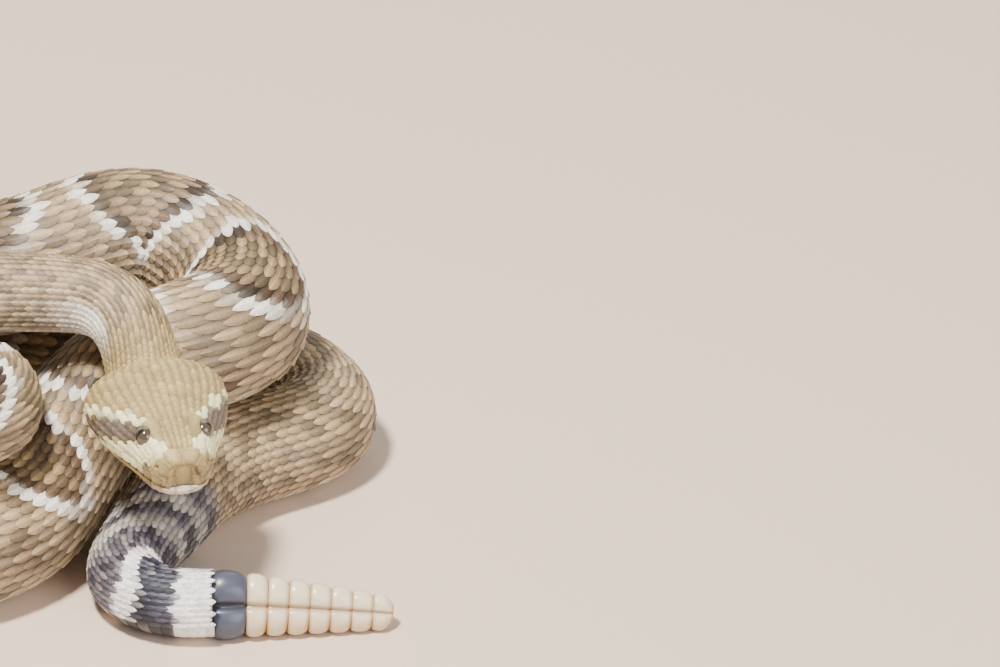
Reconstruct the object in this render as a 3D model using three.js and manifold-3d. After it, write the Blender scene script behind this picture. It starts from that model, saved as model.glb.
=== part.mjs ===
// Western diamondback rattlesnake, coiled and at rest with its head up. Millimetres, Z up.
import * as THREE from "three";
import { mergeVertices } from "three/addons/utils/BufferGeometryUtils.js";
import Module from "manifold-3d";

const wasm = await Module();
wasm.setup();

// Driving sizes
const BODY_LENGTHS = 17;
const HEAD_LENGTH = 45;
const NECK_END = 95;
const TAIL_PIECE = 26;
const MATRIX = 8.4;
const RATTLE_RINGS = 7;
const RATTLE_PITCH = 5.28;
const GAP = 0.3;
const BELLY = 0.94;
const REST = 0.925;
const BACK_RIDGE = 0.04;
const SIDES = 20;
const RING_STEP = 7;
const EYE_RADIUS = 2.5;
const EYE_AT = { s: 11.5, side: 7.3, up: 5.45 };
const NOSTRIL_AT = { s: 2.4, side: 6.8, up: 2.3, r: 0.8 };
const PIT_AT = { s: 6.2, side: 8.3, up: 0.4, r: 1.0 };
const MOUTH_CORNER = 31;
const SIDE_SLANT = 0.12;
const ORIGIN = [0.54, 69.18];

// Centreline of the whole animal from snout to rattle tip: x, y, z, radius.
// A z of null lies on the floor.
const ROUTE = [
  [46.8, -1, 47, 5], [42.8, 17, 48, 10], [39.2, 33, 49, 11],
  [37.1, 41, 49.8, 9.8], [35.5, 45.3, 55.3, 9.2], [33, 50.5, 61.3, 9.2],
  [26.5, 56.7, 64.3, 9.4], [15, 60.5, 63.9, 9.7], [0, 62.3, 63.2, 10],
  [-18, 61.8, 62.8, 10.4], [-35, 56, 60.3, 10.8], [-44, 44, 57, 11.2],
  [-42, 29, 53.5, 11.6], [-32, 20, 51, 12], [-18, 18.3, 50, 12.4],
  [-6.3, 23, 49.5, 12.8], [-1.5, 34.5, 48, 13.2], [-6.8, 45.5, 45.6, 13.4],
  [-18, 51.7, 39, 13.9], [-29, 58, 32.3, 14.4], [-41, 70, 27.5, 14.8],
  [-45, 84, 31, 15.2], [-33, 98.6, 38.4, 15.8], [-13, 101, 45, 16.6],
  [6.5, 99.6, 50.2, 17], [23, 107, 52.7, 17], [36, 110, 52.2, 17],
  [48, 106, 50, 17], [56.8, 98.3, 46.8, 17], [60.5, 87, 44, 17],
  [57.5, 76.3, 44, 17], [49, 69.3, 44, 17], [39, 67.6, 41, 16.7],
  [29.3, 64.3, 35.2, 16.6], [20, 57, 28, 17], [11, 44, 20, 17.1],
  [2.5, 29.5, null, 17.2], [-13, 17.5, null, 17.2], [-40, 14, null, 17.2],
  [-66, 28, null, 17.3], [-79, 54, null, 17.3], [-78, 84, null, 17.3],
  [-61, 113, null, 17.2], [-30, 127, null, 17], [0, 126, null, 16.8],
  [26, 120.5, null, 16.5], [47, 114.5, null, 16], [62, 108.5, null, 15.3],
  [72.3, 102, null, 14.6], [78.5, 95.5, null, 14.0], [80.6, 87.5, null, 13.7],
  [77.3, 80, null, 13.6], [69.5, 74.3, null, 13.6], [59.5, 68.5, null, 13.6],
  [50.4, 60, null, 13.3], [43.6, 49, null, 12.4], [39.5, 38.5, null, 11.3],
  [34.4, 28, null, 10.2], [30.9, 18.5, null, 9.5], [33.9, 9.3, null, 9.0],
  [42.2, 3.3, null, 8.7], [52, 3, null, 8.6], [60, 3.6, 7.7, 8.2],
  [80, 4.8, 5.9, 6.3], [98.6, 5.9, 3.9, 4.2],
];
const STEP = 2;
const SMOOTHING = 8;

// Head outline at stations behind the snout: s, half width, top, bottom, squareness
const HEAD = [
  [0, 4.2, 3.6, 4.2, 2.5], [1, 5.8, 5.0, 5.6, 2.7], [3, 7.2, 6.1, 6.7, 2.9],
  [6.5, 8.6, 7.0, 7.6, 3.0], [10, 9.8, 7.7, 8.2, 2.9], [14, 11.2, 8.3, 8.8, 2.8],
  [18, 13.0, 8.7, 9.3, 2.6], [23, 15.2, 9.2, 9.7, 2.5], [28, 17.0, 9.7, 9.9, 2.4],
  [33, 17.8, 10.0, 9.9, 2.3], [37, 17.7, 10.1, 9.9, 2.3], [40, 15.8, 10.0, 9.6, 2.2],
  [43, 12.0, 9.8, 9.2, 2.1], [45, 9.6, 9.6, 9.0, 2.0],
];

function table(rows, s, k) {
  if (s <= rows[0][0]) return rows[0][k];
  for (let i = 1; i < rows.length; i++) {
    if (s <= rows[i][0]) {
      const f = (s - rows[i - 1][0]) / (rows[i][0] - rows[i - 1][0]);
      return rows[i - 1][k] * (1 - f) + rows[i][k] * f;
    }
  }
  return rows[rows.length - 1][k];
}

const mix = (a, b, f) => a.map((v, k) => v * (1 - f) + b[k] * f);
const apart = (a, b) => Math.hypot(a[0] - b[0], a[1] - b[1], a[2] - b[2]);

function centreline() {
  const points = ROUTE.map((p) => [
    p[0] - ORIGIN[0],
    p[1] - ORIGIN[1],
    p[2] === null ? REST * p[3] : p[2],
    p[3],
  ]);
  const n = points.length;
  const before = points[0].map((v, k) => 2 * v - points[1][k]);
  const after = points[n - 1].map((v, k) => 2 * v - points[n - 2][k]);
  const all = [before, ...points, after];
  const fine = [];
  for (let i = 1; i < n; i++) {
    const [a, b, c, d] = all.slice(i - 1, i + 3);
    const t1 = Math.sqrt(apart(a, b));
    const t2 = t1 + Math.sqrt(apart(b, c));
    const t3 = t2 + Math.sqrt(apart(c, d));
    for (let j = 0; j < 12; j++) {
      const t = t1 + ((t2 - t1) * j) / 12;
      const ab = mix(a, b, t / t1);
      const bc = mix(b, c, (t - t1) / (t2 - t1));
      const cd = mix(c, d, (t - t2) / (t3 - t2));
      const abc = mix(ab, bc, t / t2);
      const bcd = mix(bc, cd, (t - t1) / (t3 - t1));
      fine.push(mix(abc, bcd, (t - t1) / (t2 - t1)));
    }
  }
  fine.push(points[n - 1]);
  let line = resample(fine);
  for (let pass = 0; pass < SMOOTHING; pass++) {
    line = line.map((p, i) =>
      i === 0 || i === line.length - 1
        ? p
        : p.map((v, k) => v / 2 + (line[i - 1][k] + line[i + 1][k]) / 4),
    );
  }
  return resample(line);
}

function resample(line) {
  const at = [0];
  for (let i = 1; i < line.length; i++) at.push(at[i - 1] + apart(line[i - 1], line[i]));
  const length = at[at.length - 1];
  const count = Math.floor(length / STEP) + 1;
  const out = [];
  let i = 1;
  for (let k = 0; k < count; k++) {
    const s = (length * k) / (count - 1);
    while (i < line.length - 1 && at[i] < s) i++;
    out.push(mix(line[i - 1], line[i], (s - at[i - 1]) / (at[i] - at[i - 1])));
  }
  out.step = length / (count - 1);
  return out;
}

const LINE = centreline();
const LENGTH = LINE.step * (LINE.length - 1);
const RATTLE_START = LENGTH - 0.2 - RATTLE_RINGS * RATTLE_PITCH;
const MATRIX_START = RATTLE_START - MATRIX;
const TAIL_MID = MATRIX_START - TAIL_PIECE;
const TAIL_START = TAIL_MID - TAIL_PIECE;

function sample(s) {
  const f = Math.min(Math.max(s / LINE.step, 0), LINE.length - 1.001);
  const i = Math.floor(f);
  return mix(LINE[i], LINE[i + 1], f - i);
}

// The tail rolls so that its side faces up and towards the viewer.
const roll = (s) => THREE.MathUtils.degToRad(27 * THREE.MathUtils.smoothstep(s, TAIL_START, RATTLE_START));

function frameAt(s) {
  const p = sample(s);
  const a = new THREE.Vector3(...sample(s - 2));
  const b = new THREE.Vector3(...sample(s + 2));
  const along = b.sub(a).normalize();
  const up = new THREE.Vector3(0, 0, 1);
  up.addScaledVector(along, -up.dot(along)).normalize();
  const side = new THREE.Vector3().crossVectors(up, along);
  const turn = new THREE.Quaternion().setFromAxisAngle(along, -roll(s));
  up.applyQuaternion(turn);
  side.applyQuaternion(turn);
  return { at: new THREE.Vector3(p[0], p[1], p[2]), r: p[3], up, side };
}

function place(frame, side, up) {
  const p = frame.at.clone().addScaledVector(frame.side, side).addScaledVector(frame.up, up);
  p.z = Math.max(p.z, 0);
  return p;
}

// One closed body swept along the centreline. section(s, angle, r) gives side and up.
function sweep(stations, section, sides = SIDES) {
  const points = [];
  const faces = [];
  for (const s of stations) {
    const frame = frameAt(s);
    for (let j = 0; j < sides; j++) {
      const angle = (2 * Math.PI * (j + 0.5)) / sides;
      points.push(place(frame, ...section(s, angle, frame.r)));
    }
  }
  const rings = stations.length;
  for (let i = 0; i < rings - 1; i++) {
    for (let j = 0; j < sides; j++) {
      const k = (j + 1) % sides;
      const a = i * sides + j;
      const b = i * sides + k;
      const c = (i + 1) * sides + k;
      const d = (i + 1) * sides + j;
      faces.push(a, d, c, a, c, b);
    }
  }
  for (const [ring, flip] of [[0, false], [rings - 1, true]]) {
    const middle = new THREE.Vector3();
    for (let j = 0; j < sides; j++) middle.add(points[ring * sides + j]);
    points.push(middle.divideScalar(sides));
    for (let j = 0; j < sides; j++) {
      const a = ring * sides + j;
      const b = ring * sides + ((j + 1) % sides);
      faces.push(points.length - 1, flip ? b : a, flip ? a : b);
    }
  }
  const geometry = new THREE.BufferGeometry();
  const flat = points.flatMap((p) => [p.x, p.y, p.z]);
  geometry.setAttribute("position", new THREE.Float32BufferAttribute(flat, 3));
  geometry.setIndex(faces);
  return geometry;
}

function steps(from, to, step) {
  const count = Math.max(2, Math.ceil((to - from) / step));
  return Array.from({ length: count + 1 }, (_, i) => from + ((to - from) * i) / count);
}

const power = (v, n) => Math.sign(v) * Math.pow(Math.abs(v), n);

// Round back with a slight ridge, and a flatter belly
function bodySection(s, angle, r) {
  const c = Math.cos(angle);
  const up = c > 0 ? c + BACK_RIDGE * Math.pow(c, 8) : -BELLY * Math.pow(-c, 0.85);
  return [r * Math.sin(angle), r * up];
}

function headOutline(s, angle) {
  const width = table(HEAD, s, 1);
  const top = table(HEAD, s, 2);
  const bottom = table(HEAD, s, 3);
  const square = 2 / table(HEAD, s, 4);
  const height = power(Math.cos(angle), square);
  const ease = THREE.MathUtils.smoothstep(s, 2, 8) * (1 - THREE.MathUtils.smoothstep(s, 22, 34));
  const side = width * power(Math.sin(angle), square) * (1 - SIDE_SLANT * ease * Math.max(height, 0));
  let up = height * (height > 0 ? top : bottom);
  // Raised plates over the eyes
  const plate = Math.exp(-(((s - 12.5) / 4) ** 2)) * Math.exp(-(((Math.abs(side) - 7) / 2) ** 2));
  if (up > 0) up += 0.8 * plate;
  return [side, up];
}

const mouthLine = (s) => -2.9 - 3.6 * THREE.MathUtils.smoothstep(s, 4, 36);

function upperSection(s, angle) {
  const [side, up] = headOutline(s, angle);
  return s < MOUTH_CORNER ? [side, Math.max(up, mouthLine(s) + GAP / 2)] : [side, up];
}

// Everything above the mouth line is laid flat along it, out to the lip.
function jawSection(s, angle) {
  const limit = mouthLine(s) - GAP / 2;
  const square = 2 / table(HEAD, s, 4);
  const lip = Math.PI - Math.acos(Math.pow(-limit / table(HEAD, s, 3), 1 / square));
  const turned = angle > Math.PI ? 2 * Math.PI - angle : angle;
  if (turned >= lip) {
    const [side, up] = headOutline(s, angle);
    return [side * 0.96, up];
  }
  const corner = headOutline(s, lip)[0] * 0.96;
  return [((angle > Math.PI ? -1 : 1) * corner * turned) / lip, limit];
}

// Rattle rings: tall and thin, grooved along the middle of each side
function rattleSection(s, angle, r) {
  const f = (s - RATTLE_START) / RATTLE_PITCH;
  const along = f - Math.floor(f);
  const lobe = 0.84 + 0.16 * Math.pow(Math.sin(Math.PI * Math.min(1, along * 0.94 + 0.06)), 0.5);
  const groove = 1 - 0.16 * Math.pow(Math.abs(Math.sin(angle)), 10);
  return [r * 0.62 * lobe * groove * Math.sin(angle), r * lobe * Math.cos(angle)];
}

function matrixSection(s, angle, r) {
  const f = THREE.MathUtils.smoothstep(s, MATRIX_START, RATTLE_START);
  const [side, up] = bodySection(s, angle, r);
  return [side * (1 - 0.3 * f), up * (1 - 0.02 * f)];
}

function toSolid(geometry) {
  geometry.deleteAttribute("normal");
  geometry.deleteAttribute("uv");
  const merged = mergeVertices(geometry, 1e-5);
  return new wasm.Manifold(
    new wasm.Mesh({
      numProp: 3,
      vertProperties: new Float32Array(merged.attributes.position.array),
      triVerts: new Uint32Array(merged.index.array),
    }),
  );
}

function fromSolid(solid) {
  const mesh = solid.getMesh();
  const geometry = new THREE.BufferGeometry();
  geometry.setAttribute("position", new THREE.BufferAttribute(new Float32Array(mesh.vertProperties), 3));
  geometry.setIndex(new THREE.BufferAttribute(new Uint32Array(mesh.triVerts), 1));
  return geometry;
}

function ball(spot, sign, radius, detail = 12) {
  const centre = place(frameAt(spot.s), sign * spot.side, spot.up);
  const geometry = new THREE.SphereGeometry(radius, detail, Math.round(detail * 0.7));
  return geometry.translate(centre.x, centre.y, centre.z);
}

function headGeometry() {
  const stations = [0, 0.5, 1.2, 3, 6, 9, 12, 15, 19, 23, 27, MOUTH_CORNER - 0.02];
  stations.push(MOUTH_CORNER + 0.02, 34, 37, 39.5, 42, HEAD_LENGTH - GAP / 2);
  let solid = toSolid(sweep(stations, upperSection, 28));
  for (const sign of [1, -1]) {
    solid = solid.subtract(toSolid(ball(EYE_AT, sign, EYE_RADIUS + GAP, 16)));
    solid = solid.subtract(toSolid(ball(NOSTRIL_AT, sign, NOSTRIL_AT.r, 8)));
    solid = solid.subtract(toSolid(ball(PIT_AT, sign, PIT_AT.r, 8)));
  }
  return fromSolid(solid);
}

const group = new THREE.Group();

function add(name, geometry, colour) {
  const material = new THREE.MeshStandardMaterial({ color: colour });
  const mesh = new THREE.Mesh(geometry, material);
  mesh.name = name;
  group.add(mesh);
}

function length(name, from, to, section = bodySection, colour = 0x9c8a6c) {
  add(name, sweep(steps(from + GAP / 2, to - GAP / 2, RING_STEP), section), colour);
}

add("head", headGeometry(), 0xa8977a);
const jawStations = [0.6, 1.4, 3, 7, 11, 15, 19, 23, 27, MOUTH_CORNER - GAP];
add("lower_jaw", sweep(jawStations, jawSection, 24), 0xcfc3a6);
add("eye_right", ball(EYE_AT, 1, EYE_RADIUS, 16), 0x6f6a58);
add("eye_left", ball(EYE_AT, -1, EYE_RADIUS, 16), 0x6f6a58);
length("neck", HEAD_LENGTH, NECK_END);
for (let i = 0; i < BODY_LENGTHS; i++) {
  const share = (TAIL_START - NECK_END) / BODY_LENGTHS;
  const name = `body_${String(i + 1).padStart(2, "0")}`;
  length(name, NECK_END + share * i, NECK_END + share * (i + 1));
}
length("tail_1", TAIL_START, TAIL_MID);
length("tail_2", TAIL_MID, MATRIX_START);
length("rattle_base", MATRIX_START, RATTLE_START, matrixSection, 0x2b2724);

const rattleStations = [];
for (let i = 0; i < RATTLE_RINGS; i++) {
  for (const f of [0.0, 0.08, 0.3, 0.6, 0.85]) {
    rattleStations.push(RATTLE_START + GAP / 2 + (i + f) * RATTLE_PITCH);
  }
}
rattleStations.push(RATTLE_START + RATTLE_RINGS * RATTLE_PITCH - 0.4);
add("rattle", sweep(rattleStations, rattleSection, 20), 0xc9b88e);

console.log("length", LENGTH.toFixed(1));

export default group;
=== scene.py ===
import bpy
import bmesh
import math
import numpy as np
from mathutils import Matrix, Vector


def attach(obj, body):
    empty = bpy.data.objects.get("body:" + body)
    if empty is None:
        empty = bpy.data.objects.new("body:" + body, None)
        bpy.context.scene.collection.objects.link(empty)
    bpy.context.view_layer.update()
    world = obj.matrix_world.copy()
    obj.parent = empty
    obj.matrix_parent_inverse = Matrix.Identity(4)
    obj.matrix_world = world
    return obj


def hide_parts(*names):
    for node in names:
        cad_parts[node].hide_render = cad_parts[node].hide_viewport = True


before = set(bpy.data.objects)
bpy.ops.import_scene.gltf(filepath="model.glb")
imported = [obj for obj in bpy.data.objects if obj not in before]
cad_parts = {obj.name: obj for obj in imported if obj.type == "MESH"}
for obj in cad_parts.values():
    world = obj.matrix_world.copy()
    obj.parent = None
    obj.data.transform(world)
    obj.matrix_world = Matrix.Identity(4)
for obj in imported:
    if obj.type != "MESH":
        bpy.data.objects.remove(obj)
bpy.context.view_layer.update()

# The animal's line from snout to rattle tip in mm: x, y, z, radius. None lies on the floor.
route = {
    "points": [
        (46.8, -1, 47, 5), (42.8, 17, 48, 10), (39.2, 33, 49, 11), (37.1, 41, 49.8, 9.8),
        (35.5, 45.3, 55.3, 9.2), (33, 50.5, 61.3, 9.2), (26.5, 56.7, 64.3, 9.4), (15, 60.5, 63.9, 9.7),
        (0, 62.3, 63.2, 10), (-18, 61.8, 62.8, 10.4), (-35, 56, 60.3, 10.8), (-44, 44, 57, 11.2),
        (-42, 29, 53.5, 11.6), (-32, 20, 51, 12), (-18, 18.3, 50, 12.4), (-6.3, 23, 49.5, 12.8),
        (-1.5, 34.5, 48, 13.2), (-6.8, 45.5, 45.6, 13.4), (-18, 51.7, 39, 13.9), (-29, 58, 32.3, 14.4),
        (-41, 70, 27.5, 14.8), (-45, 84, 31, 15.2), (-33, 98.6, 38.4, 15.8), (-13, 101, 45, 16.6),
        (6.5, 99.6, 50.2, 17), (23, 107, 52.7, 17), (36, 110, 52.2, 17), (48, 106, 50, 17),
        (56.8, 98.3, 46.8, 17), (60.5, 87, 44, 17), (57.5, 76.3, 44, 17), (49, 69.3, 44, 17),
        (39, 67.6, 41, 16.7), (29.3, 64.3, 35.2, 16.6), (20, 57, 28, 17), (11, 44, 20, 17.1),
        (2.5, 29.5, None, 17.2), (-13, 17.5, None, 17.2), (-40, 14, None, 17.2), (-66, 28, None, 17.3),
        (-79, 54, None, 17.3), (-78, 84, None, 17.3), (-61, 113, None, 17.2), (-30, 127, None, 17),
        (0, 126, None, 16.8), (26, 120.5, None, 16.5), (47, 114.5, None, 16), (62, 108.5, None, 15.3),
        (72.3, 102, None, 14.6), (78.5, 95.5, None, 14.0), (80.6, 87.5, None, 13.7), (77.3, 80, None, 13.6),
        (69.5, 74.3, None, 13.6), (59.5, 68.5, None, 13.6), (50.4, 60, None, 13.3), (43.6, 49, None, 12.4),
        (39.5, 38.5, None, 11.3), (34.4, 28, None, 10.2), (30.9, 18.5, None, 9.5), (33.9, 9.3, None, 9.0),
        (42.2, 3.3, None, 8.7), (52, 3, None, 8.6), (60, 3.6, 7.7, 8.2), (80, 4.8, 5.9, 6.3),
        (98.6, 5.9, 3.9, 4.2),
    ],
    "origin": (0.54, 69.18),
    "rest": 0.925,
    "step": 2.0,
    "between": 12,
    "smoothing": 8,
}
# Shares of the body's radius, lengths of the rattle and tail in mm, the tail's turn in degrees
body = {
    "belly": 0.94,
    "bellyPower": 0.85,
    "ridge": 0.04,
    "ridgePower": 8,
    "rings": 7,
    "ringPitch": 5.28,
    "tip": 0.2,
    "matrix": 8.4,
    "matrixFlat": (0.3, 0.02),
    "tailPieces": 52.0,
    "tailRoll": 27.0,
}
# Head outline: distance behind the snout, half width, top, bottom, squareness
headShape = np.array([
    (0, 4.2, 3.6, 4.2, 2.5), (1, 5.8, 5.0, 5.6, 2.7), (3, 7.2, 6.1, 6.7, 2.9), (6.5, 8.6, 7.0, 7.6, 3.0),
    (10, 9.8, 7.7, 8.2, 2.9), (14, 11.2, 8.3, 8.8, 2.8), (18, 13.0, 8.7, 9.3, 2.6), (23, 15.2, 9.2, 9.7, 2.5),
    (28, 17.0, 9.7, 9.9, 2.4), (33, 17.8, 10.0, 9.9, 2.3), (37, 17.7, 10.1, 9.9, 2.3),
    (40, 15.8, 10.0, 9.6, 2.2), (43, 12.0, 9.8, 9.2, 2.1), (45, 9.6, 9.6, 9.0, 2.0),
])
# Head places: distance behind the snout and height above the middle, with the eye's radius third
face = {
    "cap": 1.7,
    "blend": (41.0, 48.0),
    "eye": (11.5, 6.1, 2.55),
    "eyeDepth": 1.0,
    "nostril": (2.4, 2.3),
    "pit": (6.2, 0.4),
    "mouth": (2.9, 3.6),
    "mouthFall": (4, 36),
    "slant": 0.12,
    "slantIn": (2, 8),
    "slantOut": (22, 34),
    "brow": (12.5, 7.0),
    "browSize": (4.0, 2.0),
    "browRise": 0.8,
}


def smooth(v, a, b):
    f = np.clip((v - a) / (b - a), 0, 1)
    return f * f * (3 - 2 * f)


def evenly(line, step):
    at = np.r_[0, np.cumsum(np.linalg.norm(np.diff(line[:, :3], axis=0), axis=1))]
    s = np.linspace(0, at[-1], int(at[-1] // step) + 1)
    return np.stack([np.interp(s, at, line[:, k]) for k in range(4)], 1), s


def centreLine():
    ox, oy = route["origin"]
    given = [(x - ox, y - oy, route["rest"] * r if z is None else z, r) for x, y, z, r in route["points"]]
    points = np.array(given, float)
    ends = np.vstack([2 * points[0] - points[1], points, 2 * points[-1] - points[-2]])
    fine = []
    for a, b, c, d in zip(ends, ends[1:], ends[2:], ends[3:]):
        t1 = math.sqrt(np.linalg.norm((b - a)[:3]))
        t2 = t1 + math.sqrt(np.linalg.norm((c - b)[:3]))
        t3 = t2 + math.sqrt(np.linalg.norm((d - c)[:3]))
        for t in t1 + (t2 - t1) * np.arange(route["between"]) / route["between"]:
            ab = a + (b - a) * t / t1
            bc = b + (c - b) * (t - t1) / (t2 - t1)
            cd = c + (d - c) * (t - t2) / (t3 - t2)
            abc = ab + (bc - ab) * t / t2
            bcd = bc + (cd - bc) * (t - t1) / (t3 - t1)
            fine.append(abc + (bcd - abc) * (t - t1) / (t2 - t1))
    line = evenly(np.array(fine + [points[-1]]), route["step"])[0]
    for _ in range(route["smoothing"]):
        line[1:-1] = line[1:-1] / 2 + (line[:-2] + line[2:]) / 4
    return evenly(line, route["step"])


line, lineS = centreLine()
total = lineS[-1]
rattleStart = total - body["tip"] - body["rings"] * body["ringPitch"]
matrixStart = rattleStart - body["matrix"]
tailStart = matrixStart - body["tailPieces"]


def lineAt(s):
    return np.stack([np.interp(s, lineS, line[:, k]) for k in range(4)], -1)


def framesAt(s):
    p = lineAt(s)
    along = lineAt(s + route["step"])[..., :3] - lineAt(s - route["step"])[..., :3]
    along /= np.linalg.norm(along, axis=-1, keepdims=True)
    up = np.array([0.0, 0, 1]) - along * along[..., 2:3]
    up /= np.linalg.norm(up, axis=-1, keepdims=True)
    side = np.cross(up, along)
    roll = np.radians(-body["tailRoll"] * smooth(s, tailStart, rattleStart))[..., None]
    turnedUp = up * np.cos(roll) + np.cross(along, up) * np.sin(roll)
    turnedSide = side * np.cos(roll) + np.cross(along, side) * np.sin(roll)
    return p[..., :3], p[..., 3], turnedSide, turnedUp


def bodySection(angle, r):
    c = np.cos(angle)
    back = c + body["ridge"] * np.clip(c, 0, 1) ** body["ridgePower"]
    under = -body["belly"] * np.clip(-c, 0, 1) ** body["bellyPower"]
    return r * np.sin(angle), r * np.where(c > 0, back, under)


def headSection(s, angle):
    width, top, bottom, square = (np.interp(s, headShape[:, 0], headShape[:, k]) for k in range(1, 5))
    power = 2 / square
    sn, cs = np.sin(angle), np.cos(angle)
    height = np.sign(cs) * np.abs(cs) ** power
    ease = smooth(s, *face["slantIn"]) * (1 - smooth(s, *face["slantOut"]))
    side = width * np.sign(sn) * np.abs(sn) ** power * (1 - face["slant"] * ease * np.maximum(height, 0))
    up = height * np.where(height > 0, top, bottom)
    (browS, browSide), (browLong, browWide) = face["brow"], face["browSize"]
    brow = np.exp(-(((s - browS) / browLong) ** 2)) * np.exp(-(((np.abs(side) - browSide) / browWide) ** 2))
    return side, up + np.where(up > 0, face["browRise"] * brow, 0)


def matrixSection(s, side, up):
    f = smooth(s, matrixStart, rattleStart)
    return side * (1 - body["matrixFlat"][0] * f), up * (1 - body["matrixFlat"][1] * f)


# The outer surface as a sheet: rows along the animal, columns at equal shares of its girth.
# sheetA and sheetB hold each point's distance to the right and its height above the middle.
surface = {"columns": 200, "angles": 721, "capRows": 10, "headStep": 0.4, "bodyStep": 1.5, "headEnd": 52.0}
capS = -face["cap"] * np.cos(np.linspace(0.02, math.pi / 2, surface["capRows"], endpoint=False))
sheetS = np.r_[
    capS,
    np.arange(0, surface["headEnd"], surface["headStep"]),
    np.arange(surface["headEnd"], rattleStart + 0.4, surface["bodyStep"]),
]


def mouthHeight(s):
    return -face["mouth"][0] - face["mouth"][1] * smooth(s, *face["mouthFall"])


def outerSheet():
    angles = np.linspace(0, 2 * math.pi, surface["angles"])
    beyond = np.minimum(sheetS, 0)
    shut = np.sqrt(np.clip(1 - (beyond / face["cap"]) ** 2, 0, 1))
    at, r, side, up = framesAt(np.maximum(sheetS, 0))
    s = np.maximum(sheetS, 0)[:, None] + angles * 0
    a, b = matrixSection(s, *bodySection(angles[None, :], r[:, None]))
    headA, headB = headSection(s, angles + s * 0)
    f = 1 - smooth(s, *face["blend"])
    a = (headA * f + a * (1 - f)) * shut[:, None]
    b = (headB * f + b * (1 - f)) * shut[:, None]
    arc = np.cumsum(np.hypot(np.diff(a, axis=1), np.diff(b, axis=1)), axis=1)
    arc = np.hstack([np.zeros((len(arc), 1)), arc])
    share = np.linspace(0, 1, surface["columns"] + 1)
    across = np.array([np.interp(share * w[-1], w, v) for w, v in zip(arc, a)])
    high = np.array([np.interp(share * w[-1], w, v) for w, v in zip(arc, b)])
    front = at - np.cross(side, up) * beyond[:, None]
    rows = front[:, None] + across[..., None] * side[:, None] + high[..., None] * up[:, None]
    rows[..., 2] = np.maximum(rows[..., 2], 0)
    return rows, arc[:, -1], across, high


def sheetNormals(rows):
    ds = np.gradient(rows, axis=0)
    closed = np.concatenate([rows[:, -2:-1], rows, rows[:, 1:2]], axis=1)
    n = np.cross(ds, closed[:, 2:] - closed[:, :-2])
    return n / np.maximum(np.linalg.norm(n, axis=-1, keepdims=True), 1e-9)


outer, girth, sheetA, sheetB = outerSheet()
normals = sheetNormals(outer)
print("surface sheet", outer.shape, "length", round(total, 1))


def lookUp(grid, s, u):
    i = np.clip(np.interp(s, sheetS, np.arange(len(sheetS))), 0, len(sheetS) - 1.001)
    j = (np.asarray(u) % 1.0) * surface["columns"]
    i0 = np.floor(i).astype(int)
    j0 = np.minimum(np.floor(j).astype(int), surface["columns"] - 1)
    fi, fj = i - i0, j - j0
    if grid.ndim == 3:
        fi, fj = fi[..., None], fj[..., None]
    near = grid[i0, j0] * (1 - fi) + grid[i0 + 1, j0] * fi
    far = grid[i0, j0 + 1] * (1 - fi) + grid[i0 + 1, j0 + 1] * fi
    return near * (1 - fj) + far * fj


def onSurface(s, u, h):
    p = lookUp(outer, s, u) + lookUp(normals, s, u) * np.asarray(h)[..., None]
    p[..., 2] = np.maximum(p[..., 2], 0)
    return p


def girthAt(s):
    return np.interp(s, sheetS, girth)


# Shares of the girth for a height on the right side, or for a distance from the middle of the back
def sideShare(s, height):
    half = np.linspace(0.0, 0.5, 101)
    heights = lookUp(sheetB, s + half * 0, half)
    return float(np.interp(-height, -heights, half))


def topShare(s, across):
    half = np.linspace(0.0, 0.2, 61)
    return float(np.interp(across, lookUp(sheetA, s + half * 0, half), half))


# Colours, as screen values
palette = {
    "ground": (178, 154, 118),
    "flank": (168, 146, 116),
    "diamond": (134, 110, 82),
    "heart": (162, 138, 102),
    "dark": (80, 62, 48),
    "rust": (155, 115, 75),
    "white": (252, 247, 236),
    "belly": (226, 212, 186),
    "crown": (186, 162, 108),
    "cream": (255, 250, 196),
    "cheek": (122, 107, 92),
    "slate": (72, 73, 88),
    "greyBrown": (112, 107, 114),
    "tailGrey": (150, 142, 136),
    "tailPale": (190, 184, 174),
    "tailWhite": (250, 248, 246),
    # Dark brown for the skin between scales: partly its own tone, partly painted shade in the gaps
    "between": (62, 48, 36),
    "matrix": (70, 75, 90),
    "matrixGrooveShade": (22, 22, 30),
    "horn": (232, 219, 186),
    "hornDeepAndShade": (178, 132, 70),
    "hornGrooveShade": (150, 108, 66),
    "iris": (96, 82, 58),
}


def linear(name):
    c = np.array(palette[name]) / 255
    return np.where(c < 0.04045, c / 12.92, ((c + 0.055) / 1.055) ** 2.4)


def tint(a, b, f):
    f = np.asarray(f)[..., None]
    return a * (1 - f) + b * f


# Diamonds: one for each 2.4 radii of length, each with a dark ring, a pale heart and a white border
marks = {
    "pitch": 2.4,
    "first": 365.0,
    "long": 0.68,
    "reach": 0.205,
    "roundness": 2.2,
    "pinch": 0.12,
    "slope": (0.9, 1.2),
    "edge": 3.2,
    "edgeDark": 0.62,
    "heartSoft": 3.0,
    "white": 3.0,
    "whiteEnd": (0.2, 0.25),
    "fadeIn": (75, 160),
    "fadeOut": (690, 830),
    "faded": 0.94,
}
# Flank colours: shares of the girth from the middle of the back, and distances behind the snout
flanks = {
    "flank": (0.16, 0.28),
    "blotch": 0.262,
    "blotchSize": (6.5, 0.034),
    "blotchDark": 0.75,
    "rust": (0.318, 0.016),
    "rustFrom": (600, 800),
    "rustTo": (895, 910),
    "rustShare": 0.25,
    "belly": (0.335, 0.36),
    "paleNeck": (61, 14),
    "paleNeckFrom": (0.17, 0.21),
}
markS = np.arange(0, total, 1.0)
markCount = np.cumsum(1 / (marks["pitch"] * lineAt(markS)[:, 3]))
markCount = markCount - np.interp(marks["first"], markS, markCount)
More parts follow.
